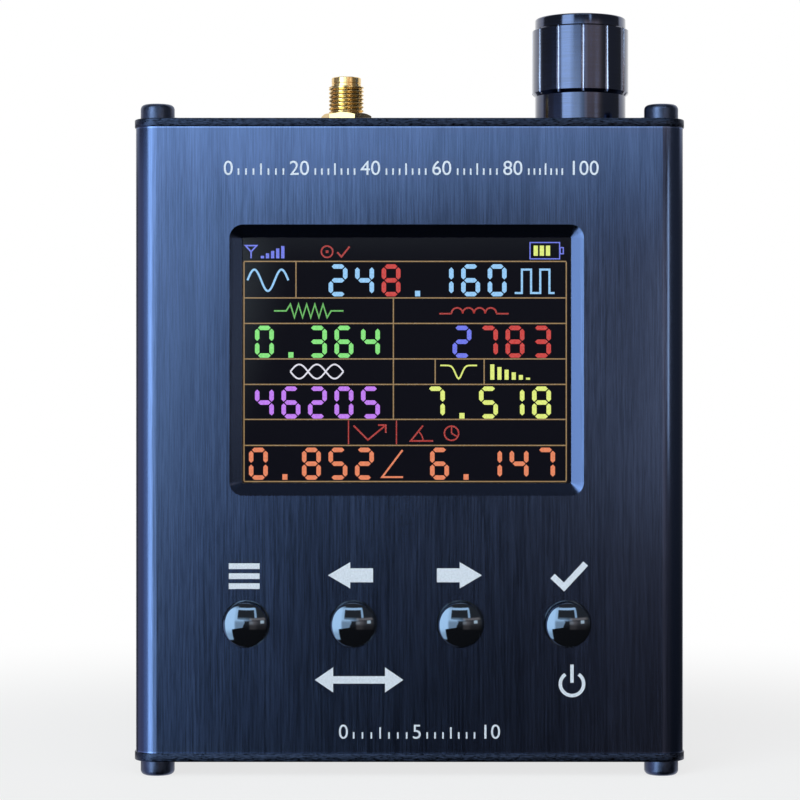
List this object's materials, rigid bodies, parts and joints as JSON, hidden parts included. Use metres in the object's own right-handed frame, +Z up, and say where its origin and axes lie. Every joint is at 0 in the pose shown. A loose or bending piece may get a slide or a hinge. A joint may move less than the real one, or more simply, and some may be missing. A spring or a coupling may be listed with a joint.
{
  "type": "antenna analyzer",
  "caption": "Handheld antenna analyzer in a blue anodised aluminium case with a colour display, domed push buttons, a gold coaxial jack and a tuning knob on top.",
  "frame": {"origin": "under the middle of the object, on the surface that the lower screw heads stand on", "axes": "+Z up along the case, towards the jack and the knob; -Y out of the front face; +X to the right of someone who faces the display"},
  "size_m": [0.0972, 0.0314, 0.1351],
  "materials": {
    "blue_aluminium": "anodised, brushed lengthwise, satin",
    "dark_steel": "blued, smooth",
    "black_aluminium": "anodised, turned",
    "gold_plate": "gold plated, bright",
    "white_plastic": "smooth",
    "nickel_steel": "nickel plated",
    "black_gloss": "polished",
    "black_plastic": "moulded",
    "clear_cover": "clear, polished",
    "lit_display": "glossy, lit from behind",
    "board_green": "solder mask",
    "flex_amber": "polyimide film",
    "lead_grey": "extruded",
    "battery_silver": "foil pouch",
    "foam_grey": "soft foam"
  },
  "bodies": {
    "case": {"front_shell": "blue_aluminium", "rear_shell": "blue_aluminium", "top_end_plate": "blue_aluminium", "bottom_end_plate": "blue_aluminium", "top_plate_screws": "dark_steel", "bottom_plate_screws": "dark_steel", "sma_body": "gold_plate", "sma_nut": "gold_plate", "sma_washer": "gold_plate", "sma_contact": "gold_plate", "sma_dielectric": "white_plastic", "encoder_bushing": "nickel_steel", "encoder_washer": "nickel_steel", "encoder_nut": "nickel_steel", "display_frame": "nickel_steel", "rf_shield": "nickel_steel", "usb_socket": "nickel_steel", "display_spacers": "nickel_steel", "encoder_body": "black_plastic", "button_switches": "black_plastic", "main_processor": "black_plastic", "support_chips": "black_plastic", "display_header": "black_plastic", "usb_tongue": "black_plastic", "battery_plug": "black_plastic", "display_window": "clear_cover", "display_panel": "lit_display", "main_board": "board_green", "display_board": "board_green", "display_flex": "flex_amber", "coax_lead": "lead_grey", "encoder_leads": "lead_grey", "battery_leads": "lead_grey", "battery_pack": "battery_silver", "battery_pad": "foam_grey"},
    "knob": {"tuning_knob": "black_aluminium", "encoder_shaft": "nickel_steel", "knob_set_screw": "dark_steel"},
    "menu_key": {"menu_button": "black_gloss", "menu_plunger": "black_plastic"},
    "left_key": {"left_button": "black_gloss", "left_plunger": "black_plastic"},
    "right_key": {"right_button": "black_gloss", "right_plunger": "black_plastic"},
    "ok_key": {"ok_button": "black_gloss", "ok_plunger": "black_plastic"}
  },
  "joints": [
    {"name": "knob_turn", "type": "hinge", "parent": "case", "child": "knob", "pos_m": [0.031, 0.0015, 0.125], "axis": [0, 0, 1], "continuous": true},
    {"name": "menu_press", "type": "slide", "parent": "case", "child": "menu_key", "axis": [0, 1, 0], "range_m": [0, 0.0003], "stiffness_N_per_m": 2000},
    {"name": "left_press", "type": "slide", "parent": "case", "child": "left_key", "axis": [0, 1, 0], "range_m": [0, 0.0003], "stiffness_N_per_m": 2000},
    {"name": "right_press", "type": "slide", "parent": "case", "child": "right_key", "axis": [0, 1, 0], "range_m": [0, 0.0003], "stiffness_N_per_m": 2000},
    {"name": "ok_press", "type": "slide", "parent": "case", "child": "ok_key", "axis": [0, 1, 0], "range_m": [0, 0.0003], "stiffness_N_per_m": 2000}
  ]
}
